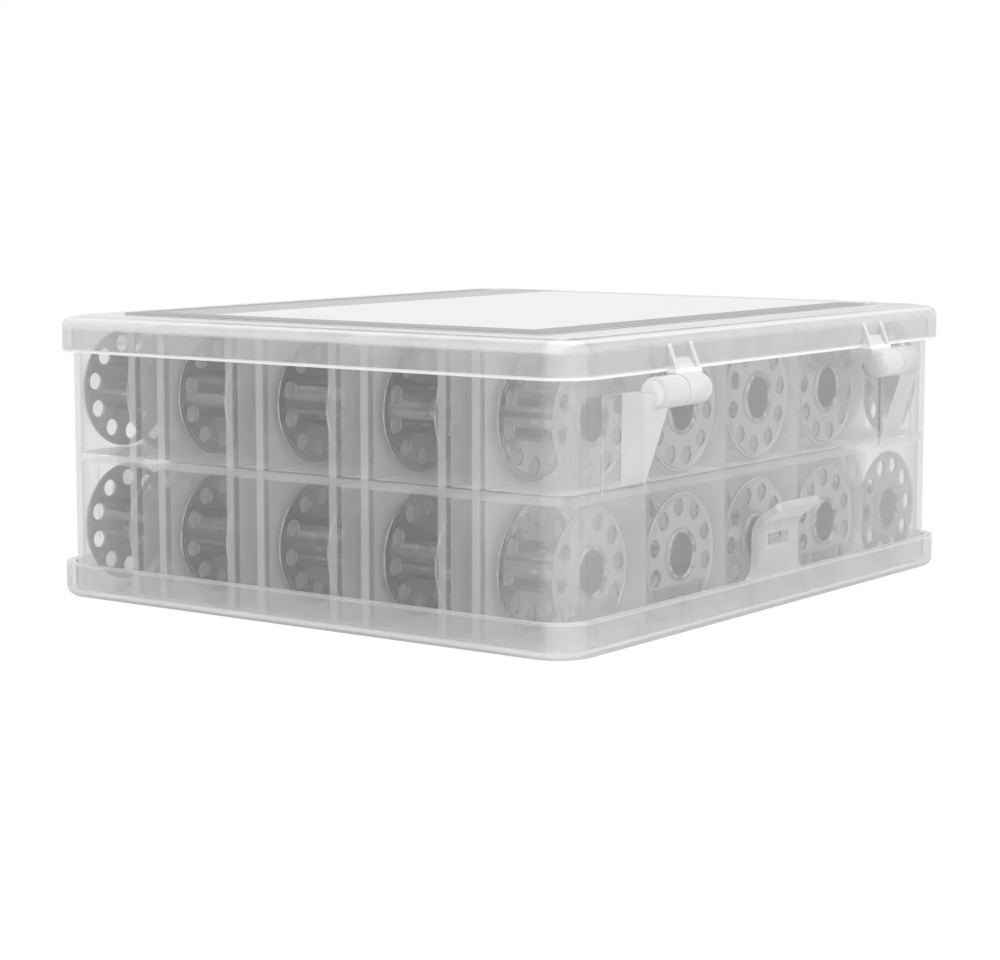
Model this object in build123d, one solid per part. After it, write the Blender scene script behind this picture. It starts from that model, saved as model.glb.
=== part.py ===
from build123d import *
from math import cos, radians, sin
import os

# Two-sided bobbin box: one moulded tray with a middle floor and compartments on both of its faces,
# two equal snap lids, each on a pair of pin hinges, a printed card on the upper lid and a metal
# bobbin in every compartment.  Millimetres, +Z up.  The origin is in the middle of the footprint,
# on the face that the box stands on.  +X is the side of the upper lid's hinges.

# ---- driving dimensions: tray ---------------------------------------------------------------
columns = 5                 # compartments along X
rows = 5                    # compartments along Y
cell_width = 14.0           # clear width of a compartment, X
cell_length = 22.48         # clear length of a compartment, Y
tier_height = 22.15         # clear height from the middle floor to the inside of a lid
channel_width = 5.3         # empty channel between two columns of compartments
end_room = 0.8              # extra room between an outer column and the side wall
plate = 1.2                 # plates and partitions between the compartments
wall = 1.4                  # outer wall of the tray
middle_floor = 1.4
tray_corner = 5.5           # outer corner radius
pocket_corner = 3.0         # corner radius inside the outer wall
rim_gap = 0.3               # tray rim to the inside of a lid
partition_drop = 1.2        # partitions end this far below the tray rim

# ---- driving dimensions: lids ---------------------------------------------------------------
lid_plate = 1.4             # inside of the lid to the face that the box stands on
lid_skirt = 1.55            # thickness of the skirt
skirt_height = 6.1          # from the standing face to the skirt's free edge
lid_fit = 0.35              # tray wall to skirt
panel_inset = 3.2           # the raised panel starts this far inside the lid's edge
panel_rise = 0.3            # height of the raised panel
edge_round = 1.6            # outer edge of the lid
panel_round = 0.25

# ---- driving dimensions: hinges -------------------------------------------------------------
hinge_out = 4.0             # hinge axis outside the tray wall
hinge_below = 2.8           # hinge axis below the skirt's free edge
knuckle_radius = 2.5
knuckle_round = 1.6         # rounded ends of a hinge, away from the joint
pin_radius = 1.25
pin_fit = 0.10              # radial clearance of the pin
bracket_end = 43.2          # outer end of a bracket, from the middle of the pair
bracket_length = 7.5
gusset_past = 1.1           # gusset past the bracket's outer end, at its tip
gusset_flare = 1.3          # and this much more where it meets the wall
gusset_length = 5.8         # gusset at its tip, along the pin
gusset_reach = 1.2          # tip of the gusset outside the hinge axis
knuckle_gap = 0.4           # bracket to lid knuckle, along the pin
arm_length = 7.3            # lid knuckle
pin_length = 5.3
fin = 1.1                   # thickness of the two fins of an arm
fin_rise = 4.7              # fins start this far above the skirt's free edge
saddle_rise = 2.2           # the saddle between the fins starts lower
arm_drop = 0.9              # arms end this far below the skirt's free edge
gusset_height = 15.2        # foot of the bracket on the wall
pad_margin = 7.3            # thin pad on the wall, past the bracket's outer end
pad_rise = 0.35

# ---- driving dimensions: latch --------------------------------------------------------------
tab_width = 13.4
tab_thickness = 1.2
tab_straight = 7.1          # skirt edge to the start of the bend
tab_bend = 3.5              # inner radius of the bend
tab_tilt = 35.0             # finger lip above the horizontal, degrees
lip_length = 3.8
lip_corner = 1.2
tab_flare = 3.0             # fillet between tab and skirt
catch_width = 5.6
catch_height = 1.2
catch_rise = 0.4            # catch ridge proud of the tray wall
catch_level = 6.2           # middle of the catch, from the skirt edge
catch_room = 0.5            # window in the tab, all round the catch
fittings_shift = -0.7       # hinges and latches stand off the middle of their walls, along Y

# ---- driving dimensions: card ---------------------------------------------------------------
card_width = 88.0
card_length = 108.0
card_thickness = 0.4
card_corner = 1.6

# ---- driving dimensions: bobbin -------------------------------------------------------------
bobbin_radius = 10.25
bobbin_width = 11.4         # over the rolled lips of the core
flange = 0.5                # sheet thickness of a flange
flange_rim = 0.9            # width of the dished rim
flange_dish = 0.3           # depth of the dish
thread_holes = 10
thread_hole_radius = 1.45
thread_hole_circle = 7.75
core_radius = 4.1           # barrel that the thread is wound on
core_bore = 3.3
lip_radius = 4.4            # rolled lip outside the flange
lip_depth = 0.45
bobbin_seat = 0.3           # bobbin to the face that carries it
bobbin_shift = 0.7          # bobbins lie to one side of their compartments, +X or -X
column_turn = 69.0          # thread holes of the next column are turned on by this much, degrees
row_turn = 161.0            # and of the next row
tier_turn = 115.0           # and of the upper tier

# ---- values that follow ---------------------------------------------------------------------
column_pitch = cell_width + 2 * plate + channel_width
row_pitch = cell_length + plate
inner_width = (columns - 1) * column_pitch + cell_width + 2 * end_room
inner_length = rows * row_pitch - plate
tray_width = inner_width + 2 * wall
tray_length = inner_length + 2 * wall
height = 2 * (lid_plate + tier_height) + middle_floor
middle = height / 2
floor_top = middle + middle_floor / 2
lid_inside = height - lid_plate              # inside of the upper lid
rim_top = lid_inside - rim_gap
partition_top = rim_top - partition_drop
lid_width = tray_width + 2 * (lid_fit + lid_skirt)
lid_length = tray_length + 2 * (lid_fit + lid_skirt)
lid_corner = tray_corner + lid_fit + lid_skirt
skirt_edge = height - skirt_height
ledge = height - panel_rise
wall_x = tray_width / 2
skirt_x = lid_width / 2
axis_x = wall_x + hinge_out
axis_z = skirt_edge - hinge_below
bracket_start = bracket_end - bracket_length
arm_end = bracket_start - knuckle_gap
arm_start = arm_end - arm_length
tab_level = skirt_edge - catch_level         # height of the catch under the upper lid

# The lower half of the box is the upper half turned over about the Y axis.
turned_over = Location((0, 0, height)) * Rot(0, 180, 0)


def at_height(z):
    return Plane.XY.offset(z)


def rounded_block(width, length, corner, low, high):
    """Upright block with rounded corners between two heights."""
    return extrude(at_height(low) * RectangleRounded(width, length, corner), high - low)


def block(x, y, z):
    """Block from its limits along each axis."""
    size = [limits[1] - limits[0] for limits in (x, y, z)]
    centre = [(limits[0] + limits[1]) / 2 for limits in (x, y, z)]
    return Pos(*centre) * Box(*size)


def slab(profile, y_low, y_high):
    """Profile drawn in X and Z, carried along Y."""
    plane = Plane(origin=(0, y_low, 0), x_dir=(1, 0, 0), z_dir=(0, -1, 0))
    return extrude(plane * profile, y_high - y_low, dir=(0, 1, 0))


def rod(x, z, radius, y_low, y_high):
    return slab(Pos(x, z) * Circle(radius), y_low, y_high)


def end_edges(round_bar):
    """Circles at the ends of a bar along Y, the one nearest to the middle of the wall first."""
    return round_bar.edges().filter_by(GeomType.CIRCLE).sort_by(lambda edge: abs(edge.center().Y))


# ---- tray -----------------------------------------------------------------------------------
def column_centre(column):
    return (column - (columns - 1) / 2) * column_pitch


def row_centre(row):
    return (row - (rows - 1) / 2) * row_pitch


def column_limits(column):
    """Clear limits of a compartment along X: the outer ones reach the side walls."""
    low = -inner_width / 2 if column == 0 else column_centre(column) - cell_width / 2
    high = inner_width / 2 if column == columns - 1 else column_centre(column) + cell_width / 2
    return low, high


def upper_tier():
    """Plates along Y between columns and channels, and partitions across each column."""
    parts = []
    for column in range(columns):
        low, high = column_limits(column)
        span_y = (-inner_length / 2 - wall / 2, inner_length / 2 + wall / 2)
        if column > 0:
            parts.append(block((low - plate, low), span_y, (middle, rim_top)))
        if column < columns - 1:
            parts.append(block((high, high + plate), span_y, (middle, rim_top)))
        for row in range(rows - 1):
            centre = row_centre(row) + row_pitch / 2
            across = (low - plate / 2, high + plate / 2)
            along = (centre - plate / 2, centre + plate / 2)
            parts.append(block(across, along, (middle, partition_top)))
    return parts


def bracket(side):
    """Hinge bracket of the upper lid: gusset, barrel and pin, on the side that side gives."""
    foot_z = axis_z - gusset_height
    root = wall_x - wall / 2
    tip_x = axis_x + gusset_reach
    gusset = Polygon((root, axis_z), (tip_x, axis_z), (wall_x, foot_z), (root, foot_z), align=None)
    outer = side * bracket_end
    past = outer + side * gusset_past
    inner = past - side * gusset_length
    flared = past + side * gusset_flare
    # seen from above, the gusset narrows from the wall to its tip
    plan = Polygon(
        (root, inner), (tip_x, inner), (tip_x, past), (wall_x, flared), (root, flared), align=None
    )
    upright = extrude(at_height(foot_z) * plan, gusset_height, dir=(0, 0, 1))
    shape = slab(gusset, *sorted((inner, flared))) & upright
    barrel = rod(axis_x, axis_z, knuckle_radius, *sorted((side * bracket_start, outer)))
    shape += fillet(end_edges(barrel)[-1], knuckle_round)
    pin_end = side * (bracket_start - pin_length)
    pin = rod(axis_x, axis_z, pin_radius, *sorted((pin_end, side * bracket_start + side)))
    shape += chamfer(end_edges(pin)[0], pin_radius / 3)
    pad = block(
        (root, wall_x + pad_rise),
        sorted((inner, outer + side * pad_margin)),
        (foot_z, axis_z),
    )
    return shape + pad


def catch():
    """Ridge on the tray wall that the upper lid's tab snaps over."""
    half = catch_height / 2
    ridge = Polygon(
        (-wall_x + wall / 2, tab_level - half),
        (-wall_x, tab_level - half),
        (-wall_x - catch_rise, tab_level),
        (-wall_x, tab_level + half),
        (-wall_x + wall / 2, tab_level + half),
        align=None,
    )
    return slab(ridge, -catch_width / 2, catch_width / 2)


def make_tray():
    """Outer wall, middle floor, both tiers of compartments, four hinge brackets and two catches."""
    low_rim = height - rim_top
    shell = rounded_block(tray_width, tray_length, tray_corner, low_rim, rim_top)
    inside = (inner_width, inner_length, pocket_corner)
    shell -= rounded_block(*inside, floor_top, rim_top)
    shell -= rounded_block(*inside, low_rim, height - floor_top)
    fittings = [Pos(0, fittings_shift, 0) * piece for piece in (bracket(1), bracket(-1), catch())]
    half = upper_tier() + fittings
    return shell + half + [turned_over * piece for piece in half]


# ---- lids -----------------------------------------------------------------------------------
def lid_shell():
    shell = rounded_block(lid_width, lid_length, lid_corner, skirt_edge, ledge)
    shell = fillet(shell.faces().sort_by(Axis.Z)[-1].edges(), edge_round)
    panel_width, panel_length = lid_width - 2 * panel_inset, lid_length - 2 * panel_inset
    panel_corner = lid_corner - panel_inset
    panel = rounded_block(panel_width, panel_length, panel_corner, ledge - panel_rise, height)
    panel = fillet(panel.faces().sort_by(Axis.Z)[-1].edges(), panel_round)
    inside_width, inside_length = tray_width + 2 * lid_fit, tray_length + 2 * lid_fit
    cavity = rounded_block(inside_width, inside_length, tray_corner + lid_fit, skirt_edge, lid_inside)
    return shell + panel - cavity


def arm(side):
    """Hinge arm: two fins and a saddle that carry the knuckle, with a blind bore for the pin."""
    start, end = side * arm_start, side * arm_end

    def web(rise):
        root = skirt_x - lid_skirt / 2
        top = skirt_edge + rise
        foot = skirt_edge - arm_drop
        return Polygon(
            (root, top), (skirt_x, top), (axis_x, axis_z + knuckle_radius), (axis_x, axis_z),
            (axis_x - knuckle_radius, axis_z), (skirt_x, foot), (skirt_x, skirt_edge), (root, skirt_edge),
            align=None,
        )

    shape = slab(web(saddle_rise), *sorted((start, end)))
    shape += slab(web(fin_rise), *sorted((start, start + side * fin)))
    shape += slab(web(fin_rise), *sorted((end, end - side * fin)))
    knuckle = rod(axis_x, axis_z, knuckle_radius, *sorted((start, end)))
    shape += fillet(end_edges(knuckle)[0], knuckle_round)
    bore_end = bracket_start - pin_length - knuckle_gap
    return shape - rod(axis_x, axis_z, pin_radius + pin_fit, *sorted((side * bore_end, end + side)))


def tab():
    """Latch tab: a tongue flush with the skirt that curls out into a finger lip, with a window."""
    outer = -skirt_x
    inner = outer + tab_thickness
    bend_z = skirt_edge - tab_straight
    centre = (outer - tab_bend, bend_z)
    turn = radians(90 - tab_tilt)

    def on_arc(radius, angle):
        return centre[0] + radius * cos(angle), centre[1] - radius * sin(angle)

    far = tab_bend + tab_thickness
    tip = (-lip_length * sin(turn), -lip_length * cos(turn))
    near_end, far_end = on_arc(tab_bend, turn), on_arc(far, turn)
    near_tip = (near_end[0] + tip[0], near_end[1] + tip[1])
    far_tip = (far_end[0] + tip[0], far_end[1] + tip[1])
    top = skirt_edge + lid_skirt
    outline = [
        Line((outer, top), (outer, bend_z)),
        ThreePointArc((outer, bend_z), on_arc(tab_bend, turn / 2), near_end),
        Line(near_end, near_tip),
        Line(near_tip, far_tip),
        Line(far_tip, far_end),
        ThreePointArc(far_end, on_arc(far, turn / 2), (inner, bend_z)),
        Line((inner, bend_z), (inner, top)),
        Line((inner, top), (outer, top)),
    ]
    tongue = slab(make_face(Curve() + outline), -tab_width / 2, tab_width / 2)
    lip_edges = tongue.edges().filter_by(lambda edge: edge.center().X < near_end[0] + tip[0] / 2)
    lip_edges = lip_edges.filter_by(lambda edge: abs(abs(edge.center().Y) - tab_width / 2) < 0.01)
    corners = lip_edges.filter_by(lambda edge: abs(edge.length - tab_thickness) < 0.01)
    tongue = fillet(corners, lip_corner)
    # flares where the tongue leaves the skirt
    for side in (1, -1):
        y = side * tab_width / 2
        flare_y = sorted((y, y + side * tab_flare))
        flare = block((outer, inner), flare_y, (skirt_edge - tab_flare, skirt_edge))
        hollow = Pos((outer + inner) / 2, y + side * tab_flare, skirt_edge - tab_flare)
        tongue += flare - hollow * Rot(0, 90, 0) * Cylinder(tab_flare, 2 * tab_thickness)
    window = block(
        (outer - 1, inner + 1),
        (-catch_width / 2 - catch_room, catch_width / 2 + catch_room),
        (tab_level - catch_height / 2 - catch_room, tab_level + catch_height / 2 + catch_room),
    )
    return tongue - window


def make_lid():
    return lid_shell() + [Pos(0, fittings_shift, 0) * piece for piece in (arm(1), arm(-1), tab())]


def make_card():
    low, high = height, height + card_thickness
    return rounded_block(card_width, card_length, card_corner, low, high)


# ---- bobbins --------------------------------------------------------------------------------
def make_flange():
    """Stamped flange: a flat web with ten thread holes inside a rim that is dished outwards."""
    outside = bobbin_width / 2 - lip_depth
    inside = outside - flange
    rim_start = bobbin_radius - flange_rim - flange_dish
    neck = core_radius - flange
    profile = Polyline(
        (neck, inside), (rim_start, inside), (rim_start + flange_dish, inside + flange_dish),
        (bobbin_radius, inside + flange_dish), (bobbin_radius, outside + flange_dish),
        (rim_start + flange_dish, outside + flange_dish), (rim_start, outside), (neck, outside),
        (neck, inside),
    )
    disc = revolve(Plane.XZ * make_face(profile), Axis.Z)
    holes = PolarLocations(thread_hole_circle, thread_holes)
    return disc - [place * Pos(0, 0, outside) * Cylinder(thread_hole_radius, 4 * flange) for place in holes]


def make_core():
    """Tube between the flanges, with a neck through each and a lip rolled over outside it."""
    half = bobbin_width / 2
    outside = half - lip_depth
    inside = outside - flange
    neck = core_radius - flange
    rolled = lip_depth / 2                      # the rolled lip's edges, as bevels
    side = [
        (core_bore, 0), (core_radius, 0), (core_radius, inside), (neck, inside), (neck, outside),
        (lip_radius, outside), (lip_radius, half - rolled), (lip_radius - rolled, half),
        (core_bore + rolled, half), (core_bore, half - rolled), (core_bore, 0),
    ]
    upper = revolve(Plane.XZ * make_face(Polyline(*side)), Axis.Z)
    return upper + mirror(upper, Plane.XY)


def make_bobbin(solids, tier, column, row):
    """Bobbin lying on its rims in a compartment, its axis along X, turned by its own amount."""
    low, high = column_limits(column)
    x = (low + high) / 2 + (bobbin_shift if row > 0 else -bobbin_shift)
    y = row_centre(row)
    seat = floor_top if tier == "top" else lid_plate
    place = Pos(x, y, seat + bobbin_seat + bobbin_radius)
    turn = column_turn * column + row_turn * row + (tier_turn if tier == "top" else 0)
    return [place * Rot(turn, 0, 0) * Rot(0, 90, 0) * solid for solid in solids]


# ---- writing --------------------------------------------------------------------------------
def save(name, solids):
    shape = solids[0] if len(solids) == 1 else Compound(children=list(solids))
    shape.label = name
    export_step(shape, "parts/" + name + ".step")


def main():
    os.makedirs("parts", exist_ok=True)
    save("tray", make_tray().solids())
    lid = make_lid()
    save("top_lid", lid.solids())
    save("bottom_lid", (turned_over * lid).solids())
    save("label_card", make_card().solids())
    side = make_flange().solid()
    bobbin = [side, mirror(side, Plane.XY).solid(), make_core().solid()]
    for tier in ("top", "bottom"):
        for column in range(columns):
            for row in range(rows):
                name = "bobbin_%s_%s%d" % (tier, "abcdefghij"[column], row + 1)
                save(name, make_bobbin(bobbin, tier, column, row))


main()
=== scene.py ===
import math

import bmesh
import bpy
import numpy as np
from mathutils import Matrix, Vector


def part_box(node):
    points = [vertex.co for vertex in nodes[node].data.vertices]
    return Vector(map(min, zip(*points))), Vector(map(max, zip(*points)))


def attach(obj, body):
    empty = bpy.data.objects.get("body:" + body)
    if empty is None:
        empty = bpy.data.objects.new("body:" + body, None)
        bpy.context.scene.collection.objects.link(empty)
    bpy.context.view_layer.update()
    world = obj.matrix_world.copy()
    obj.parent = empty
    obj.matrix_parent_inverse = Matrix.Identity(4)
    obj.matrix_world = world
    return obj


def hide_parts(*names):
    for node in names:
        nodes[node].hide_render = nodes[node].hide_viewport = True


# Two-sided bobbin box in clear plastic with a slight frost, and the metal bobbins in it, on a white stage.
# Metres, +Z up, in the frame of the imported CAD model.  Every piece moves with its CAD body.

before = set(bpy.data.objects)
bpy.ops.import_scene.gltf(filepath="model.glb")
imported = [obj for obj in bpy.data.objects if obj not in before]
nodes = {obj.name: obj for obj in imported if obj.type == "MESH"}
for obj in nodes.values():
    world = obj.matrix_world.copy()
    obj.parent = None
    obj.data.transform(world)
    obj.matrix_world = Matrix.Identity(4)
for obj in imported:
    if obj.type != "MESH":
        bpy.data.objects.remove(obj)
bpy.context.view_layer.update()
print("frame loaded:", len(nodes), "nodes")


def newTree(name):
    material = bpy.data.materials.new(name)
    material.use_nodes = True
    tree = material.node_tree
    tree.nodes.clear()
    output = tree.nodes.new("ShaderNodeOutputMaterial")
    shader = tree.nodes.new("ShaderNodeBsdfPrincipled")
    tree.links.new(shader.outputs["BSDF"], output.inputs["Surface"])
    return material, tree, shader


# a value goes into a socket as a link or as the socket's own number
def feed(tree, socket, value):
    if isinstance(value, bpy.types.NodeSocket):
        tree.links.new(value, socket)
    else:
        socket.default_value = value


def calc(tree, operation, *values):
    node = tree.nodes.new("ShaderNodeMath")
    node.operation = operation
    for socket, value in zip(node.inputs, values):
        feed(tree, socket, value)
    return node.outputs["Value"]


# the sum and the product of any number of values
def total(tree, *values):
    result = values[0]
    for value in values[1:]:
        result = calc(tree, "ADD", result, value)
    return result


def product(tree, *values):
    result = values[0]
    for value in values[1:]:
        result = calc(tree, "MULTIPLY", result, value)
    return result


# a smooth step from toLow to toHigh as value goes from fromLow to fromHigh
def ramp(tree, value, fromLow, fromHigh, toLow=0.0, toHigh=1.0):
    node = tree.nodes.new("ShaderNodeMapRange")
    node.interpolation_type = "SMOOTHSTEP"
    names = ("Value", "From Min", "From Max", "To Min", "To Max")
    for name, number in zip(names, (value, fromLow, fromHigh, toLow, toHigh)):
        feed(tree, node.inputs[name], number)
    return node.outputs["Result"]


def noise(tree, vector, scale, detail=2.0, roughness=0.5):
    node = tree.nodes.new("ShaderNodeTexNoise")
    feed(tree, node.inputs["Vector"], vector)
    feed(tree, node.inputs["Scale"], scale)
    node.inputs["Detail"].default_value = detail
    node.inputs["Roughness"].default_value = roughness
    return node.outputs["Fac"]


def axes(tree, vector):
    node = tree.nodes.new("ShaderNodeSeparateXYZ")
    feed(tree, node.inputs["Vector"], vector)
    return node.outputs["X"], node.outputs["Y"], node.outputs["Z"]


def stretched(tree, vector, scale):
    node = tree.nodes.new("ShaderNodeVectorMath")
    node.operation = "MULTIPLY"
    feed(tree, node.inputs[0], vector)
    node.inputs[1].default_value = scale
    return node.outputs["Vector"]


# a colour made lighter or darker by a number
def toned(tree, colour, tone):
    node = tree.nodes.new("ShaderNodeVectorMath")
    node.operation = "SCALE"
    node.inputs[0].default_value = colour
    feed(tree, node.inputs["Scale"], tone)
    return node.outputs["Vector"]


def mixColour(tree, factor, first, second):
    node = tree.nodes.new("ShaderNodeMix")
    node.data_type = "RGBA"
    feed(tree, node.inputs["Factor"], factor)
    for name, value in (("A_Color", first), ("B_Color", second)):
        socket = next(s for s in node.inputs if s.identifier == name)
        feed(tree, socket, value if isinstance(value, bpy.types.NodeSocket) else (*value, 1.0))
    return next(s for s in node.outputs if s.identifier == "Result_Color")


def bump(tree, height, strength, distance):
    node = tree.nodes.new("ShaderNodeBump")
    node.inputs["Strength"].default_value = strength
    node.inputs["Distance"].default_value = distance
    feed(tree, node.inputs["Height"], height)
    return node.outputs["Normal"]


# the vector that a mesh carries at its own points under a name
def carried(tree, name):
    node = tree.nodes.new("ShaderNodeAttribute")
    node.attribute_type = "GEOMETRY"
    node.attribute_name = name
    return node.outputs["Vector"]


def paint(piece, material):
    piece.data.materials.clear()
    piece.data.materials.append(material)


def addPiece(name, mesh, material):
    piece = bpy.data.objects.new(name, mesh)
    bpy.context.scene.collection.objects.link(piece)
    paint(piece, material)
    return piece


plastic = {
    "colour": (0.80, 0.805, 0.805),
    "rough": 0.22,
    "scuff": 0.04,                   # haze in a scuff
    "scuffScale": 900.0,
    "scuffSquash": (1.0, 1.0, 9.0),  # scuffs run along the walls, longer than they are high
    "scuffFrom": 0.64,               # noise past which a scuff starts, and where it is full
    "scuffTo": 0.76,
    "wave": 0.3,                     # waviness of the surface
    "waveDepth": 0.0004,
    "grazing": 1.15,                 # added where a face is seen edge on, times facing to this power
    "power": 2.6,
    "lightThrough": 0.85,            # share of the haze that lets light on into the box
}


# Moulded clear plastic: clouds in the frost, a few fine scuffs and a slow waviness, on Object coordinates.
def frostGroup():
    group = bpy.data.node_groups.new("frost", "ShaderNodeTree")
    for name in ("Cloud Scale", "Scuff Scale", "Wave Scale"):
        group.interface.new_socket(name, in_out="INPUT", socket_type="NodeSocketFloat")
    for name, kind in (("Haze", "NodeSocketFloat"), ("Scuff", "NodeSocketFloat"), ("Normal", "NodeSocketVector")):
        group.interface.new_socket(name, in_out="OUTPUT", socket_type=kind)
    given = group.nodes.new("NodeGroupInput").outputs
    place = group.nodes.new("ShaderNodeTexCoord").outputs["Object"]
    output = group.nodes.new("NodeGroupOutput")
    cloud = noise(group, place, given["Cloud Scale"], 3.0)
    scratch = noise(group, stretched(group, place, plastic["scuffSquash"]), given["Scuff Scale"], 2.0, 0.7)
    wave = noise(group, place, given["Wave Scale"], 1.0)
    feed(group, output.inputs["Haze"], calc(group, "SUBTRACT", product(group, cloud, 2.0), 1.0))     # -1 to 1
    feed(group, output.inputs["Scuff"], ramp(group, scratch, plastic["scuffFrom"], plastic["scuffTo"]))
    feed(group, output.inputs["Normal"], bump(group, wave, plastic["wave"], plastic["waveDepth"]))
    return group


frost = frostGroup()


# Clear plastic.  Opacity is what placeLook gives by place, plus clouds, scuffs and grazing light on the outside
# of a wall; haze turns light aside and takes little away, so most of it still lights the inside.  placeLook
# also gives a tone that paints light and shade by place; a little painted glow stands for light the sheet leads
# inwards.
def plasticMaterial(name, placeLook, look):
    material, tree, shader = newTree(name)
    clouds = tree.nodes.new("ShaderNodeGroup")
    clouds.node_tree = frost
    clouds.inputs["Cloud Scale"].default_value = look["cloudScale"]
    clouds.inputs["Scuff Scale"].default_value = plastic["scuffScale"]
    clouds.inputs["Wave Scale"].default_value = look["waveScale"]
    coordinates = tree.nodes.new("ShaderNodeTexCoord").outputs
    facing = tree.nodes.new("ShaderNodeLayerWeight").outputs["Facing"]
    behind = tree.nodes.new("ShaderNodeNewGeometry").outputs["Backfacing"]
    front = calc(tree, "SUBTRACT", 1.0, behind)
    grazing = product(tree, calc(tree, "POWER", facing, plastic["power"]), plastic["grazing"], front)
    cloud = product(tree, clouds.outputs["Haze"], look["cloud"])
    scuff = product(tree, clouds.outputs["Scuff"], plastic["scuff"])
    base, tone = placeLook(tree, coordinates["Object"], coordinates["Normal"])
    opacity = calc(tree, "MINIMUM", total(tree, base, grazing, cloud, scuff), 1.0)
    path = tree.nodes.new("ShaderNodeLightPath")
    light = calc(tree, "MAXIMUM", path.outputs["Is Shadow Ray"], path.outputs["Is Diffuse Ray"])
    keep = calc(tree, "SUBTRACT", 1.0, product(tree, light, plastic["lightThrough"]))
    # painted light and shade: the tone from placeLook, also used for the painted glow
    colour = toned(tree, plastic["colour"], tone)
    feed(tree, shader.inputs["Base Color"], colour)
    feed(tree, shader.inputs["Emission Color"], colour)
    shader.inputs["Emission Strength"].default_value = look["glow"]
    shader.inputs["Roughness"].default_value = plastic["rough"]
    feed(tree, shader.inputs["Alpha"], calc(tree, "MAXIMUM", product(tree, opacity, keep), 0.0))
    feed(tree, shader.inputs["Normal"], clouds.outputs["Normal"])
    material.surface_render_method = "BLENDED"
    return material


# sizes of the box that the looks of the tray and the lids are laid out on
box = {
    "height": 0.0485,        # standing face to standing face
    "wallX": 0.0526,         # outside of the tray wall
    "wallY": 0.0600,
    "wallCorner": 0.0055,
    "wall": 0.0014,
    "skirtX": 0.0545,        # outside of a lid's skirt
    "skirtY": 0.0619,
    "skirtCorner": 0.0074,
    "skirt": 0.0061,         # standing face to the skirt's free edge
    "hinge": 0.0089,         # standing face to the hinge axis
    "padEnd": 0.0505,        # outer end of the thin pads beside the hinges
    "shift": -0.0007,        # hinges and latches stand off the middle by this much, along Y
    "turnFrom": -0.0003,     # a wall's added haze at a corner starts here, measured from where the wall
    "turnTo": 0.0012,        # starts to turn, and is full here
}


# 1 where the size of value is past limit
def beyond(tree, value, limit, soft):
    return ramp(tree, calc(tree, "ABSOLUTE", value), limit, limit + soft)


# 1 where value is under limit, with a soft edge on both sides of it
def under(tree, value, limit, soft):
    return ramp(tree, value, limit - soft, limit + soft, 1.0, 0.0)


# how far inside a wall with rounded corners a point is: corner radius less the distance to the corner's centre line
def insideWall(tree, x, y, halfX, halfY, corner):
    alongX = calc(tree, "MAXIMUM", calc(tree, "SUBTRACT", calc(tree, "ABSOLUTE", x), halfX - corner), 0.0)
    alongY = calc(tree, "MAXIMUM", calc(tree, "SUBTRACT", calc(tree, "ABSOLUTE", y), halfY - corner), 0.0)
    reach = calc(tree, "SQRT", total(tree, product(tree, alongX, alongX), product(tree, alongY, alongY)))
    return calc(tree, "SUBTRACT", corner, reach)


# 1 on faces that look along the chosen axis (0 is X, 1 is Y), either way
def looksAlong(tree, normal, axis):
    return ramp(tree, calc(tree, "ABSOLUTE", axes(tree, normal)[axis]), 0.5, 0.8)


# how far past the start of a rounded corner a point is, along the axis where it is less
def pastTurn(tree, x, y, halfX, halfY):
    alongX = calc(tree, "SUBTRACT", calc(tree, "ABSOLUTE", x), halfX - box["wallCorner"])
    alongY = calc(tree, "SUBTRACT", calc(tree, "ABSOLUTE", y), halfY - box["wallCorner"])
    return calc(tree, "MINIMUM", alongX, alongY)


# depth below the nearer standing face: the same for the upper half of the box and for the lower half
def depthFrom(tree, z):
    return calc(tree, "MINIMUM", z, calc(tree, "SUBTRACT", box["height"], z))


# how far a value lies from the nearest of some places on either side of zero
def nearest(tree, value, places):
    size = calc(tree, "ABSOLUTE", value)
    result = None
    for spot in places:
        distance = calc(tree, "ABSOLUTE", calc(tree, "SUBTRACT", size, spot))
        result = distance if result is None else calc(tree, "MINIMUM", result, distance)
    return result


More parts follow.
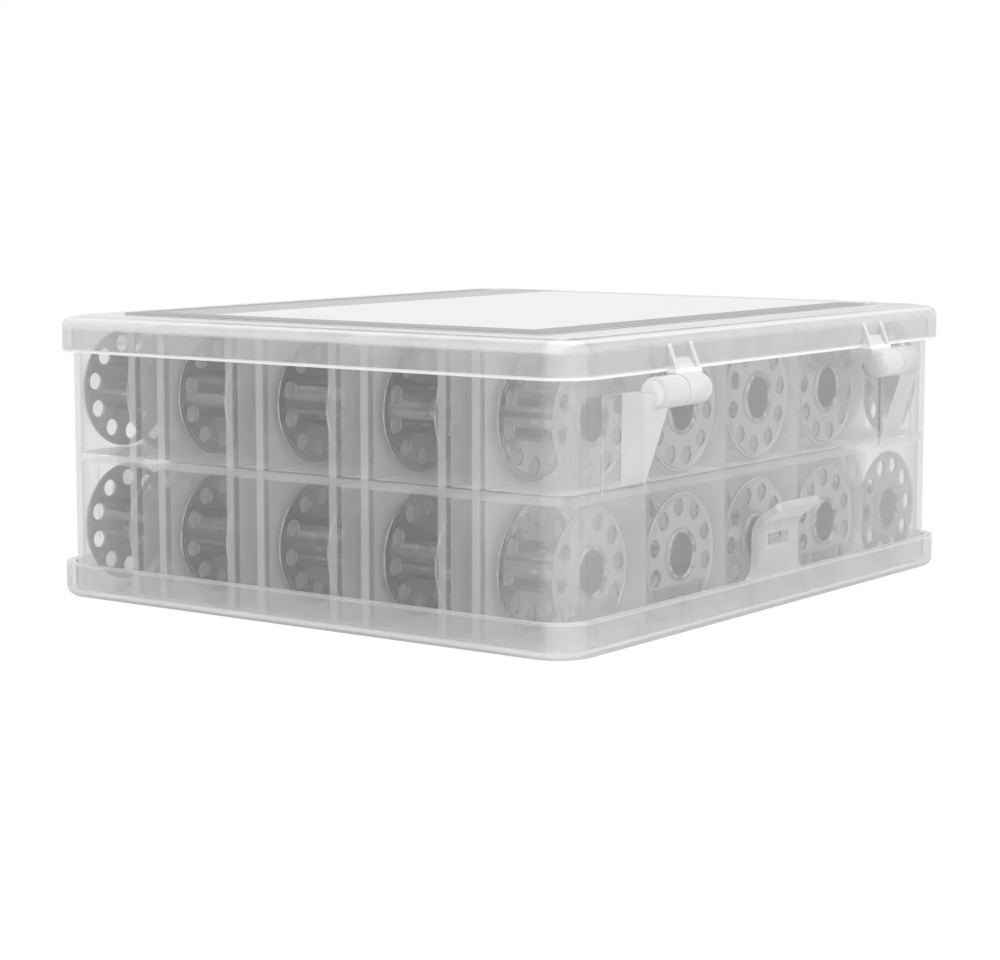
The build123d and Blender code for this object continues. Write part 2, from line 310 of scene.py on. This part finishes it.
trayLook = {
    "paintedPlateShade": 0.65,               # painted shade on the plates and middle floor
    # painted light: the plates' tone is lifted in the last column
    "paintedColumnLight": 0.20,               # added to it in the last column, which the light reaches more,
    "rightFrom": 0.030,              # from here
    "rightTo": 0.0345,               # to here, where it is full
    "fittingTone": 0.92,
    "bracketSideLight": 0.30,             # painted light added to the tone on the sides of a bracket
    # painted glow: emission that stands for light the sheet leads inwards
    "glow": 0.07,
    "cloud": 0.05,                   # cloudiness, plus or minus
    "cloudScale": 75.0,
    "waveScale": 160.0,
    "wall": 0.11,                    # opacity of one clean face of the outer wall seen square on
    "plates": 0.42,                  # plates, partitions and middle floor, which the mould leaves rougher
    "plateFrom": 0.00012,            # they start this far inside the wall
    "plateSoft": 0.0001,
    "corner": 0.10,                  # added where the wall turns
    "nearCorner": 0.09,              # and up to it on both sides, at -Y
    "cornerReach": 0.016,
    "nearFade": 0.02,
    "farEnd": 0.10,                  # added at the +Y end of the wall, and its tone there
    "farTone": -0.15,
    "farStart": 0.034,
    "farReach": 0.006,
    "plateJoint": 0.30,              # added on the wall where a plate meets it
    "floorJoint": 0.26,              # and where the middle floor does
    "sideJoint": 0.45,               # share of that on the walls along Y
    "plateEdges": (0.0076, 0.0141, 0.0293, 0.0358),
    "plateHalf": 0.0008,
    "floor": 0.02425,                # middle of the middle floor
    "floorHalf": 0.0007,
    "jointSoft": 0.0002,
    "skin": 0.0002,                  # joints show down to this depth under the wall's outer face
    "bracket": 0.46,                 # added on the hinge brackets
    "bracketFoot": 0.30,
    "footFrom": 0.0115,              # a bracket thins out between these distances from its hinge
    "footTo": 0.0150,
    "fittingFrom": 0.00037,          # brackets stand out from the wall by more than this,
    "fittingSoft": 0.00006,
    "padFrom": 0.00003,              # and pads by more than this
    "padSoft": 0.00002,
    "pad": 0.32,                     # added on the pads' outer ends
    "padDepth": 0.0001,
    "padEndSoft": 0.00005,
}


# Clear outer wall with a whiter line where a plate or the middle floor joins it, rougher plates inside it with
# painted shade on them and painted light in the last column, and hinge brackets outside it that thin out at
# their feet, with painted light on their sides.
def trayLookAt(tree, place, normal):
    x, y, z = axes(tree, place)
    inside = insideWall(tree, x, y, box["wallX"], box["wallY"], box["wallCorner"])
    start = box["wall"] + trayLook["plateFrom"]
    plates = ramp(tree, inside, start, start + trayLook["plateSoft"])
    clean = calc(tree, "SUBTRACT", 1.0, plates)
    wall = ramp(tree, plates, 0.0, 1.0, trayLook["wall"], trayLook["plates"])
    past = pastTurn(tree, x, y, box["wallX"], box["wallY"])
    near = product(tree, ramp(tree, past, -trayLook["cornerReach"], 0.0, 0.0, trayLook["nearCorner"]),
                   ramp(tree, y, -trayLook["nearFade"], 0.0, 1.0, 0.0))
    turn = ramp(tree, past, box["turnFrom"], box["turnTo"], 0.0, trayLook["corner"])
    turn = product(tree, total(tree, turn, near), clean)
    far = product(tree, ramp(tree, y, trayLook["farStart"], trayLook["farStart"] + trayLook["farReach"]), clean)
    edge = product(tree, under(tree, nearest(tree, x, trayLook["plateEdges"]), trayLook["plateHalf"],
                               trayLook["jointSoft"]),
                   beyond(tree, y, box["wallY"] - trayLook["skin"], trayLook["skin"] / 2))
    level = product(tree, under(tree, nearest(tree, z, [trayLook["floor"]]), trayLook["floorHalf"],
                                trayLook["jointSoft"]),
                    ramp(tree, looksAlong(tree, normal, 0), 0.0, 1.0, 1.0, trayLook["sideJoint"]))
    joint = calc(tree, "MAXIMUM", product(tree, edge, trayLook["plateJoint"]),
                 product(tree, level, trayLook["floorJoint"]))
    joint = product(tree, joint, ramp(tree, inside, trayLook["skin"], 2 * trayLook["skin"], 1.0, 0.0))
    bracket = ramp(tree, depthFrom(tree, z), box["hinge"] + trayLook["footFrom"], box["hinge"] + trayLook["footTo"],
                   trayLook["bracket"], trayLook["bracketFoot"])
    outside = beyond(tree, x, box["wallX"] + trayLook["fittingFrom"], trayLook["fittingSoft"])
    padEnd = product(tree, beyond(tree, x, box["wallX"] + trayLook["padFrom"], trayLook["padSoft"]),
                     beyond(tree, calc(tree, "SUBTRACT", y, box["shift"]), box["padEnd"] - trayLook["padDepth"],
                            trayLook["padEndSoft"]), trayLook["pad"])
    # painted light: the last column's plates get a lighter tone
    right = ramp(tree, x, trayLook["rightFrom"], trayLook["rightTo"], 0.0, trayLook["paintedColumnLight"])
    # painted shade: the plates and middle floor take a darker tone
    tone = total(tree, 1.0, product(tree, plates, calc(tree, "ADD", right, trayLook["paintedPlateShade"] - 1.0)),
                 product(tree, outside, trayLook["fittingTone"] - 1.0),
                 # painted light on the brackets' sides
                 product(tree, outside, looksAlong(tree, normal, 1), trayLook["bracketSideLight"]),
                 product(tree, far, trayLook["farTone"]))
    opacity = total(tree, wall, turn, joint, product(tree, outside, bracket), padEnd,
                    product(tree, far, trayLook["farEnd"]))
    return opacity, tone


lidLook = {
    "paintedTopLight": 1.06,                 # painted light on the standing face and the band round it
    "topSoft": 0.0005,
    # painted shade: the skirts' tone, darker than the top's
    "paintedSkirtShade": 0.83,
    # painted highlight: the tone of the line along the skirt's free edge
    "edgeHighlightTone": 1.22,
    "armTone": 1.0,
    "glow": 0.0,
    "cloud": 0.20,
    "cloudScale": 150.0,
    "waveScale": 120.0,
    "lid": 0.27,                     # opacity of one clean face seen square on
    "corner": 0.20,                  # added where the skirt turns
    # painted highlight: lighter tone where the skirt turns
    "cornerHighlight": 0.12,
    "band": 0.40,                    # added round the top, where the plate's edge fills the view
    "sideBand": 0.40,                # share of it on the sides along Y
    "bandDepth": 0.0021,
    "bandSoft": 0.0003,
    "bandFrom": 0.0036,              # it fades between these distances inside the outline
    "bandTo": 0.0044,
    # painted highlight along the skirts' free edges, as more haze
    "edgeHighlight": 0.95,                # added along the free edge of the upper lid's skirt
    "lowerEdgeHighlight": 0.14,               # and of the lower one's
    "lowerShare": 0.45,              # share of band, painted top light and painted edge highlight on the lower lid
    "lineWidth": 0.00042,
    "lineSoft": 0.00008,
    "skirtSoft": 0.0001,
    "arms": 0.36,
    "armFrom": 0.0001,               # arms stand out from the skirt by more than this
    "armSoft": 0.0002,
    "tab": 0.04,
    "tabFade": 0.001,
    "tabEdge": 0.35,                 # added round the tab, on the faces that don't look along X
    # painted highlight: lighter tone round the tab's edges
    "tabEdgeHighlight": 0.28,
}


# a light band round the plate's edge, a painted highlight along the skirt's free edge, hinge arms and latch tab;
# the tone paints light and shade: a lighter top, darker skirts, lighter corners and tab edges
def lidLookAt(tree, place, normal):
    x, y, z = axes(tree, place)
    depth = depthFrom(tree, z)
    inside = insideWall(tree, x, y, box["skirtX"], box["skirtY"], box["skirtCorner"])
    outer = ramp(tree, inside, lidLook["bandFrom"], lidLook["bandTo"], 1.0, 0.0)
    upper = calc(tree, "GREATER_THAN", z, box["height"] / 2)
    part = ramp(tree, upper, 0.0, 1.0, lidLook["lowerShare"], 1.0)
    share = product(tree, ramp(tree, looksAlong(tree, normal, 0), 0.0, 1.0, 1.0, lidLook["sideBand"]), part)
    band = product(tree, under(tree, depth, lidLook["bandDepth"], lidLook["bandSoft"]), outer, share,
                   lidLook["band"])
    end = box["skirt"] + lidLook["skirtSoft"]
    onSkirt = ramp(tree, depth, end, end + lidLook["skirtSoft"], 1.0, 0.0)
    # painted highlight: a lighter, hazier line along the skirt's free edge
    start = box["skirt"] - lidLook["lineWidth"]
    strength = ramp(tree, upper, 0.0, 1.0, lidLook["lowerEdgeHighlight"], lidLook["edgeHighlight"])
    rim = product(tree, ramp(tree, depth, start, start + lidLook["lineSoft"]), onSkirt)
    turn = ramp(tree, pastTurn(tree, x, y, box["skirtX"], box["skirtY"]), box["turnFrom"], box["turnTo"])
    # the upper lid's arms are at +X and its tab at -X; the lower lid is the other way round
    side = product(tree, x, calc(tree, "SUBTRACT", product(tree, upper, 2.0), 1.0))
    reach = box["skirtX"] + lidLook["armFrom"]
    arms = ramp(tree, side, reach, reach + lidLook["armSoft"])
    tabs = product(tree, calc(tree, "SUBTRACT", 1.0, onSkirt), ramp(tree, side, -lidLook["tabFade"], 0.0, 1.0, 0.0))
    tabEdge = product(tree, tabs, calc(tree, "SUBTRACT", 1.0, looksAlong(tree, normal, 0)))
    top = ramp(tree, depth, lidLook["bandDepth"] - lidLook["bandSoft"], lidLook["bandDepth"] + lidLook["topSoft"],
               1.0, 0.0)
    # painted light and shade in the tone: lighter top, darker skirts, painted highlights at corners, free edge and
    # tab
    tone = total(tree, lidLook["paintedSkirtShade"], product(tree, turn, lidLook["cornerHighlight"]),
                 product(tree, top, share, lidLook["paintedTopLight"] - lidLook["paintedSkirtShade"]),
                 product(tree, rim, part, lidLook["edgeHighlightTone"] - lidLook["paintedSkirtShade"]),
                 product(tree, arms, lidLook["armTone"] - lidLook["paintedSkirtShade"]),
                 product(tree, tabEdge, lidLook["tabEdgeHighlight"]))
    opacity = total(tree, lidLook["lid"], band, product(tree, turn, lidLook["corner"]), product(tree, rim, strength),
                    product(tree, arms, lidLook["arms"]), product(tree, tabs, lidLook["tab"]),
                    product(tree, tabEdge, lidLook["tabEdge"]))
    return opacity, tone


# faces of a grid of rows by columns whose columns close on themselves
def gridFaces(rows, columns, closeRows=False):
    row = np.arange(rows if closeRows else rows - 1)[:, None]
    column = np.arange(columns)[None, :]
    nextRow, nextColumn = (row + 1) % rows, (column + 1) % columns
    corners = (row * columns + column, row * columns + nextColumn, nextRow * columns + nextColumn,
               nextRow * columns + column)
    return np.stack([np.broadcast_to(c, (len(row), columns)) for c in corners], -1).reshape(-1, 4)


card = {
    "paper": (0.86, 0.86, 0.86),
    "dull": (0.81, 0.81, 0.812),
    "line": (0.43, 0.43, 0.43),      # border
    "far": (0.74, 0.735, 0.73),      # border along +Y
    "band": (0.57, 0.555, 0.55),     # wider strip along -X
    "rough": 0.6,
    "toneScale": 60.0,
    "halfX": 0.044,
    "halfY": 0.054,
    "lineWidth": 0.0056,
    "lineSoft": 0.0002,
    "bandStart": 0.0045,
    "bandWidth": 0.0165,
    "bandSoft": 0.0004,
    "corner": 0.0016,
    "cornerSteps": 8,
    "low": 0.04852,                  # just clear of the lid
    "high": 0.0489,
    "edge": 0.0001,                  # bevel of the cut edge
    "face": 0.0487,                  # the border shows above this height only
}


# white card, no print: a dark border, and a wider grey strip along -X
def cardMaterial():
    material, tree, shader = newTree("labelCard")
    place = tree.nodes.new("ShaderNodeTexCoord").outputs["Object"]
    x, y, z = axes(tree, place)
    paper = mixColour(tree, noise(tree, place, card["toneScale"]), card["dull"], card["paper"])
    inX = calc(tree, "SUBTRACT", card["halfX"], calc(tree, "ABSOLUTE", x))
    inY = calc(tree, "SUBTRACT", card["halfY"], calc(tree, "ABSOLUTE", y))
    face = calc(tree, "GREATER_THAN", z, card["face"])
    line = product(tree, under(tree, calc(tree, "MINIMUM", inX, inY), card["lineWidth"], card["lineSoft"]), face)
    fromLeft = calc(tree, "ADD", x, card["halfX"])
    band = product(tree, under(tree, fromLeft, card["bandWidth"], card["bandSoft"]), face)
    band = product(tree, band, ramp(tree, fromLeft, card["bandStart"] - card["bandSoft"],
                                    card["bandStart"] + card["bandSoft"]))
    colour = mixColour(tree, band, paper, card["band"])
    near = calc(tree, "LESS_THAN", y, card["lineWidth"] - card["halfY"])
    line = product(tree, line, calc(tree, "MAXIMUM", near, calc(tree, "SUBTRACT", 1.0, band)))
    far = calc(tree, "GREATER_THAN", y, card["halfY"] - card["lineWidth"])
    border = mixColour(tree, far, card["line"], card["far"])
    feed(tree, shader.inputs["Base Color"], mixColour(tree, line, colour, border))
    shader.inputs["Roughness"].default_value = card["rough"]
    return material


# The card: a rounded rectangle (quarter circles about the four corner centres) carried up from the underside to
# the top face as rings, drawn in by a bevel at both faces, and closed with one face below and one above.
def makeCard():
    quarter = np.linspace(0, math.pi / 2, card["cornerSteps"] + 1)
    angle = (quarter[None, :] + np.arange(4)[:, None] * math.pi / 2).ravel()
    signs = np.repeat([(1, 1), (-1, 1), (-1, -1), (1, -1)], len(quarter), axis=0)
    centre = signs * (card["halfX"] - card["corner"], card["halfY"] - card["corner"])
    out = np.stack([np.cos(angle), np.sin(angle)], -1)
    count = len(out)
    levels = [(card["edge"], card["low"]), (0.0, card["low"] + card["edge"]), (0.0, card["high"] - card["edge"]),
              (card["edge"], card["high"])]
    rings = [np.column_stack([centre + out * (card["corner"] - inset), np.full(count, level)])
             for inset, level in levels]
    below, above = np.arange(count)[::-1], np.arange(count) + (len(levels) - 1) * count
    faces = gridFaces(len(levels), count).tolist() + [below.tolist(), above.tolist()]
    mesh = bpy.data.meshes.new("cardSheet")
    mesh.from_pydata(np.concatenate(rings).tolist(), [], faces)
    piece = addPiece("cardSheet", mesh, cardMaterial())
    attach(piece, "top_lid")
    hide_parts("label_card")


bobbin = {
    "radius": 0.01025,
    "halfWidth": 0.0057,     # over the rolled lips
    "sheet": 0.0005,
    "dish": 0.00012,         # the rim stands out from the web by this much
    "dishStart": 0.00930,
    "dishEnd": 0.00985,
    "holes": 10,
    "holeRadius": 0.00145,
    "holeCircle": 0.00775,
    "holeEdge": 0.00005,     # bevel of a thread hole
    "neck": 0.0036,
    "barrel": 0.0041,
    "bore": 0.0033,
    "lipRadius": 0.0044,
    "lipDepth": 0.00045,
    "columnTurn": 69.0,      # thread holes of the next column, the next row and the upper tier are turned on
    "rowTurn": 161.0,        # by these angles, degrees
    "tierTurn": 115.0,
    "outerSteps": 6,         # steps along the outer arc of one hole's share, its inner arc and its side
    "innerSteps": 2,
    "sideSteps": 5,
    "dishSteps": 5,
    "rimSteps": 6,
    "lipSteps": 8,
    "coreSteps": 48,
    "merge": 2e-7,
    "sharp": 35.0,           # edges sharper than this stay sharp, degrees
}

steel = {
    "bright": (0.54, 0.54, 0.542),
    "dull": (0.44, 0.44, 0.444),
    "toneScale": 130.0,
    "reflectionDark": (0.09, 0.09, 0.092),
    "rough": 0.15,
    "roughSpread": 0.12,
    "turning": 0.10,         # strength and depth of the fine turned rings
    "turningDepth": 0.00004,
    "turningScale": 2600.0,
    "drawn": 0.80,           # darkness of the painted reflections along the barrel
    "reflectionBands": 2.6,            # reflected bands to a radian
    "reflectionFrom": 0.44,        # noise past which a band starts, and where it is full
    "reflectionTo": 0.58,
    "barrelFrom": 0.00002,   # the bands fade out between these heights over the barrel
    "barrelTo": 0.00015,
}


# Drawn and stamped sheet: fine rings about the bobbin's axis, from the piece's own turned attribute
# (distance from the axis, distance along it), painted reflections as dark bands along the barrel, from its around
# attribute (the direction from the axis), and a slow change of tone on Object coordinates.
def steelMaterial():
    material, tree, shader = newTree("bobbinSteel")
    turned = carried(tree, "turned")
    place = tree.nodes.new("ShaderNodeTexCoord").outputs["Object"]
    rings = noise(tree, turned, steel["turningScale"])
    reflectionBands = ramp(tree, noise(tree, carried(tree, "around"), steel["reflectionBands"], 1.0), steel["reflectionFrom"], steel["reflectionTo"])
    barrel = ramp(tree, axes(tree, turned)[0], bobbin["barrel"] + steel["barrelFrom"],
                  bobbin["barrel"] + steel["barrelTo"], steel["drawn"], 0.0)
    tone = noise(tree, place, steel["toneScale"])
    rough = total(tree, steel["rough"] - steel["roughSpread"] / 2, product(tree, tone, steel["roughSpread"]))
    shader.inputs["Metallic"].default_value = 1.0
    feed(tree, shader.inputs["Roughness"], rough)
    sheet = mixColour(tree, tone, steel["dull"], steel["bright"])
    # painted reflection: dark bands along the barrel
    feed(tree, shader.inputs["Base Color"], mixColour(tree, product(tree, reflectionBands, barrel), sheet, steel["reflectionDark"]))
    feed(tree, shader.inputs["Normal"], bump(tree, rings, steel["turning"], steel["turningDepth"]))
    return material


# A profile of (along, radius) pairs carried round the axis: along, radius sin(angle), -radius cos(angle).
def turnedGrid(profile, angles, closeRows=False):
    along, radius = np.asarray(profile, float).T
    points = np.stack([np.broadcast_to(along[:, None], (len(along), len(angles))),
                       radius[:, None] * np.sin(angles)[None, :], -radius[:, None] * np.cos(angles)[None, :]], -1)
    return points.reshape(-1, 3), gridFaces(len(along), len(angles), closeRows)


# Outline of one thread hole's share of the web, as (radius, angle) about the bobbin's axis: an outer arc, a side
# whose points lie on rays from the hole's centre, an inner arc, and the first side mirrored.
def shareOutline():
    half = math.pi / bobbin["holes"]
    centre, outer, inner = bobbin["holeCircle"], bobbin["dishStart"], bobbin["neck"]
    corner = lambda radius: math.atan2(radius * math.sin(half), radius * math.cos(half) - centre)
    rays = np.linspace(corner(outer), corner(inner), bobbin["sideSteps"] + 1)[1:-1]
    side = centre * np.sin(rays) / np.sin(rays - half)
    outerArc = np.linspace(-half, half, bobbin["outerSteps"] + 1)
    innerArc = np.linspace(half, -half, bobbin["innerSteps"] + 1)
    radius = np.concatenate([np.full(len(outerArc), outer), side, np.full(len(innerArc), inner), side[::-1]])
    angle = np.concatenate([outerArc, np.full(len(side), half), innerArc, np.full(len(side), -half)])
    return radius, angle


# One flange between inside and outside along the axis: webs with thread holes, each hole a closed strip of
# rings from one web through the sheet to the other, and a rim whose profile is a cosine dish and a half round.
def flangeParts(inside, outside):
    radius, angle = shareOutline()
    outline = np.stack([radius * np.cos(angle), radius * np.sin(angle)], -1)
    middle = np.array([bobbin["holeCircle"], 0.0])
    away = outline - middle
    away /= np.linalg.norm(away, axis=1)[:, None]
    wide = middle + away * (bobbin["holeRadius"] + bobbin["holeEdge"])
    narrow = middle + away * bobbin["holeRadius"]
    edge = math.copysign(bobbin["holeEdge"], outside - inside)
    rows = [(outline, outside), (wide, outside), (narrow, outside - edge), (narrow, inside + edge), (wide, inside),
            (outline, inside)]
    flat = np.stack([row for row, _ in rows])
    along = np.array([level for _, level in rows])[:, None].repeat(len(outline), 1)
    halfShare = math.pi / bobbin["holes"]
    parts = []
    for turn in 2 * halfShare * np.arange(bobbin["holes"]):
        p = flat[..., 0] * math.cos(turn) - flat[..., 1] * math.sin(turn)
        q = flat[..., 0] * math.sin(turn) + flat[..., 1] * math.cos(turn)
        parts.append((np.stack([along, q, -p], -1).reshape(-1, 3), gridFaces(len(rows), len(outline))))
    out = math.copysign(1.0, outside - inside)
    dish = out * bobbin["dish"]
    step = np.linspace(0, 1, bobbin["dishSteps"] + 1)
    rise = dish * (1 - np.cos(math.pi * step)) / 2
    slope = bobbin["dishStart"] + (bobbin["dishEnd"] - bobbin["dishStart"]) * step
    half = abs(outside - inside) / 2
    bend = np.linspace(0, math.pi, bobbin["rimSteps"] + 1)[1:-1]
    roundS = (inside + outside) / 2 + dish + out * half * np.cos(bend)
    roundR = bobbin["radius"] - half + half * np.sin(bend)
    profile = np.stack([np.concatenate([outside + rise, roundS, (inside + rise)[::-1]]),
                        np.concatenate([slope, roundR, slope[::-1]])], -1)
    starts = np.arange(bobbin["holes"])[:, None] * 2 * halfShare
    rim = (starts + np.linspace(-halfShare, halfShare, bobbin["outerSteps"] + 1)[None, :-1]).ravel()
    bore = (starts + np.linspace(-halfShare, halfShare, bobbin["innerSteps"] + 1)[None, :-1]).ravel()
    parts.append(turnedGrid(profile, rim))
    parts.append(turnedGrid([(inside, bobbin["neck"]), (outside, bobbin["neck"])], bore))
    return parts


# The core: a tube whose profile steps in to a neck at each flange and ends in a half ellipse, the rolled lip.
def corePart():
    half, sheet = bobbin["halfWidth"], bobbin["sheet"]
    outside = half - bobbin["lipDepth"]
    bend = np.linspace(0, math.pi, bobbin["lipSteps"] + 1)
    lipS = outside + bobbin["lipDepth"] * np.sin(bend)
    lipR = (bobbin["bore"] + bobbin["lipRadius"]) / 2 - (bobbin["lipRadius"] - bobbin["bore"]) / 2 * np.cos(bend)
    upper = [(0.0, bobbin["bore"]), *zip(lipS, lipR), (outside, bobbin["neck"]), (outside - sheet, bobbin["neck"]),
             (outside - sheet, bobbin["barrel"]), (0.0, bobbin["barrel"])]
    lower = [(-s, r) for s, r in upper[-2:0:-1]]
    return turnedGrid(upper + lower, np.linspace(0, 2 * math.pi, bobbin["coreSteps"] + 1)[:-1], closeRows=True)


# Points and faces of one shell: its parts side by side, merged where they meet, with faces outwards.
def mergedShell(parts):
    counts = np.cumsum([0] + [len(points) for points, _ in parts])
    faces = np.concatenate([quads + count for (_, quads), count in zip(parts, counts)])
    mesh = bpy.data.meshes.new("shell")
    mesh.from_pydata(np.concatenate([points for points, _ in parts]).tolist(), [], faces.tolist())
    shell = bmesh.new()
    shell.from_mesh(mesh)
    bmesh.ops.remove_doubles(shell, verts=shell.verts, dist=bobbin["merge"])
    bmesh.ops.recalc_face_normals(shell, faces=shell.faces)
    shell.to_mesh(mesh)
    shell.free()
    points = np.empty(len(mesh.vertices) * 3)
    mesh.vertices.foreach_get("co", points)
    corners = np.empty(len(mesh.loops), dtype=np.int32)
    mesh.loops.foreach_get("vertex_index", corners)
    bpy.data.meshes.remove(mesh)
    return points.reshape(-1, 3), corners.reshape(-1, 4)


# All three shells of a bobbin about the origin, its axis along X: two flanges and the core between them.
def bobbinShape():
    outside = bobbin["halfWidth"] - bobbin["lipDepth"]
    inside = outside - bobbin["sheet"]
    shells = [mergedShell(parts) for parts in (flangeParts(inside, outside), flangeParts(-inside, -outside),
                                               [corePart()])]
    counts = np.cumsum([0] + [len(points) for points, _ in shells])
    faces = np.concatenate([quads + count for (_, quads), count in zip(shells, counts)])
    return np.concatenate([points for points, _ in shells]), faces.tolist()


# Each bobbin is the shape turned about its axis and set in the middle of its CAD node's box.
def placeBobbins():
    material = steelMaterial()
    shape, faces = bobbinShape()
    distance = np.hypot(shape[:, 1], shape[:, 2])
    turned = np.stack([distance, shape[:, 0], np.zeros(len(shape))], -1)
    around = np.stack([shape[:, 1] / distance, shape[:, 2] / distance, np.zeros(len(shape))], -1)
    for name in sorted(n for n in nodes if n.startswith("bobbin_")):
        tier, spot = name.split("_")[1:]
        column, row = "abcde".index(spot[0]), int(spot[1]) - 1
        turn = math.radians(bobbin["columnTurn"] * column + bobbin["rowTurn"] * row
                            + (bobbin["tierTurn"] if tier == "top" else 0.0))
        low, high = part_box(name)
        centre = (low + high) / 2
        x = shape[:, 0] + centre.x
        y = shape[:, 1] * math.cos(turn) - shape[:, 2] * math.sin(turn) + centre.y
        z = shape[:, 1] * math.sin(turn) + shape[:, 2] * math.cos(turn) + centre.z
        mesh = bpy.data.meshes.new(name + "_steel")
        mesh.from_pydata(np.stack([x, y, z], -1).tolist(), [], faces)
        mesh.shade_smooth()
        mesh.set_sharp_from_angle(angle=math.radians(bobbin["sharp"]))
        for label, values in (("turned", turned), ("around", around)):
            own = mesh.attributes.new(label, "FLOAT_VECTOR", "POINT")
            own.data.foreach_set("vector", values.astype(np.float32).ravel())
        piece = addPiece(name + "_steel", mesh, material)
        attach(piece, name)
        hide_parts(name)
    return len(faces)


lidPlastic = plasticMaterial("lidPlastic", lidLookAt, lidLook)
paint(nodes["tray"], plasticMaterial("trayPlastic", trayLookAt, trayLook))
paint(nodes["top_lid"], lidPlastic)
paint(nodes["bottom_lid"], lidPlastic)
print("tray and lids painted")
makeCard()
print("card ready")
print("bobbins ready:", placeBobbins(), "faces each")

stage = {"size": 1.6, "drop": 0.00005, "colour": (0.75, 0.75, 0.75), "rough": 0.9}


# white floor: pure white to the camera, a pale diffuse surface to every other ray
def makeStage():
    half = stage["size"] / 2
    corners = [(-half, -half), (half, -half), (half, half), (-half, half)]
    mesh = bpy.data.meshes.new("floor")
    mesh.from_pydata([(a, b, -stage["drop"]) for a, b in corners], [], [(0, 1, 2, 3)])
    material, tree, shader = newTree("floorWhite")
    shader.inputs["Base Color"].default_value = (*stage["colour"], 1.0)
    shader.inputs["Roughness"].default_value = stage["rough"]
    glow = tree.nodes.new("ShaderNodeEmission")
    mix = tree.nodes.new("ShaderNodeMixShader")
    tree.links.new(tree.nodes.new("ShaderNodeLightPath").outputs["Is Camera Ray"], mix.inputs["Fac"])
    tree.links.new(shader.outputs["BSDF"], mix.inputs[1])
    tree.links.new(glow.outputs["Emission"], mix.inputs[2])
    output = next(node for node in tree.nodes if node.type == "OUTPUT_MATERIAL")
    tree.links.new(mix.outputs["Shader"], output.inputs["Surface"])
    addPiece("floor", mesh, material)


light = {
    "top": 1.10,
    "side": 0.72,
    "low": 0.90,
    "topFrom": (0.0, 0.8),           # from the side level to the top level, by the direction's Z
    "lowFrom": (-0.6, 0.0),
    "right": 0.40,                   # extra from +X
    "rightFrom": (-0.3, 1.0),
    "front": 0.12,                   # less from -Y
    "frontFrom": (-0.9, 0.1),
    "streak": 0.55,                  # darker bands that metal reflects
    "streakFrom": (0.42, 0.58),
    "streakScale": 2.2,
    "streakSquash": (1.0, 1.0, 2.6),
}


# Soft light tent: brighter above and at +X, darker bands for the metal to reflect, white to the camera.
def makeWorld():
    world = bpy.data.worlds.new("tent")
    bpy.context.scene.world = world
    world.use_nodes = True
    tree = world.node_tree
    tree.nodes.clear()
    output = tree.nodes.new("ShaderNodeOutputWorld")
    background = tree.nodes.new("ShaderNodeBackground")
    way = tree.nodes.new("ShaderNodeTexCoord").outputs["Generated"]
    x, y, z = axes(tree, way)
    up = ramp(tree, z, *light["topFrom"], light["side"], light["top"])
    down = ramp(tree, z, *light["lowFrom"], light["low"] - light["side"], 0.0)
    level = total(tree, up, down, product(tree, ramp(tree, x, *light["rightFrom"]), light["right"]))
    level = product(tree, level, ramp(tree, y, *light["frontFrom"], 1.0 - light["front"], 1.0))
    pattern = noise(tree, stretched(tree, way, light["streakSquash"]), light["streakScale"], 1.0)
    path = tree.nodes.new("ShaderNodeLightPath")
    bands = product(tree, ramp(tree, pattern, *light["streakFrom"]), light["streak"], path.outputs["Is Glossy Ray"])
    level = product(tree, level, calc(tree, "SUBTRACT", 1.0, bands))
    background.inputs["Color"].default_value = (1.0, 1.0, 1.0, 1.0)
    seen = path.outputs["Is Camera Ray"]
    level = total(tree, product(tree, level, calc(tree, "SUBTRACT", 1.0, seen)), seen)
    feed(tree, background.inputs["Strength"], level)
    tree.links.new(background.outputs["Background"], output.inputs["Surface"])


camera = {
    "place": (0.26521, -0.36986, 0.07431),
    "turn": 35.975,          # degrees round Z
    "down": 7.057,
    "roll": 0.019,
    "lens": 92.27,
    "sensor": 36.0,
    "near": 0.01,
    "far": 10.0,
}


def makeCamera():
    turn, down = math.radians(camera["turn"]), math.radians(camera["down"])
    back = Vector((math.sin(turn) * math.cos(down), -math.cos(turn) * math.cos(down), math.sin(down)))
    data = bpy.data.cameras.new("camera")
    data.sensor_width = camera["sensor"]
    data.lens = camera["lens"]
    data.clip_start, data.clip_end = camera["near"], camera["far"]
    view = bpy.data.objects.new("camera", data)
    bpy.context.scene.collection.objects.link(view)
    view.location = camera["place"]
    view.rotation_mode = "QUATERNION"
    roll = Matrix.Rotation(math.radians(camera["roll"]), 3, back)
    view.rotation_quaternion = (roll @ (-back).to_track_quat("-Z", "Y").to_matrix()).to_quaternion()
    bpy.context.scene.camera = view


makeStage()
makeWorld()
makeCamera()
scene = bpy.context.scene
scene.view_settings.view_transform = "Standard"
scene.cycles.transparent_max_bounces = 64        # the view goes through many clear faces
print("stage, light and camera ready")
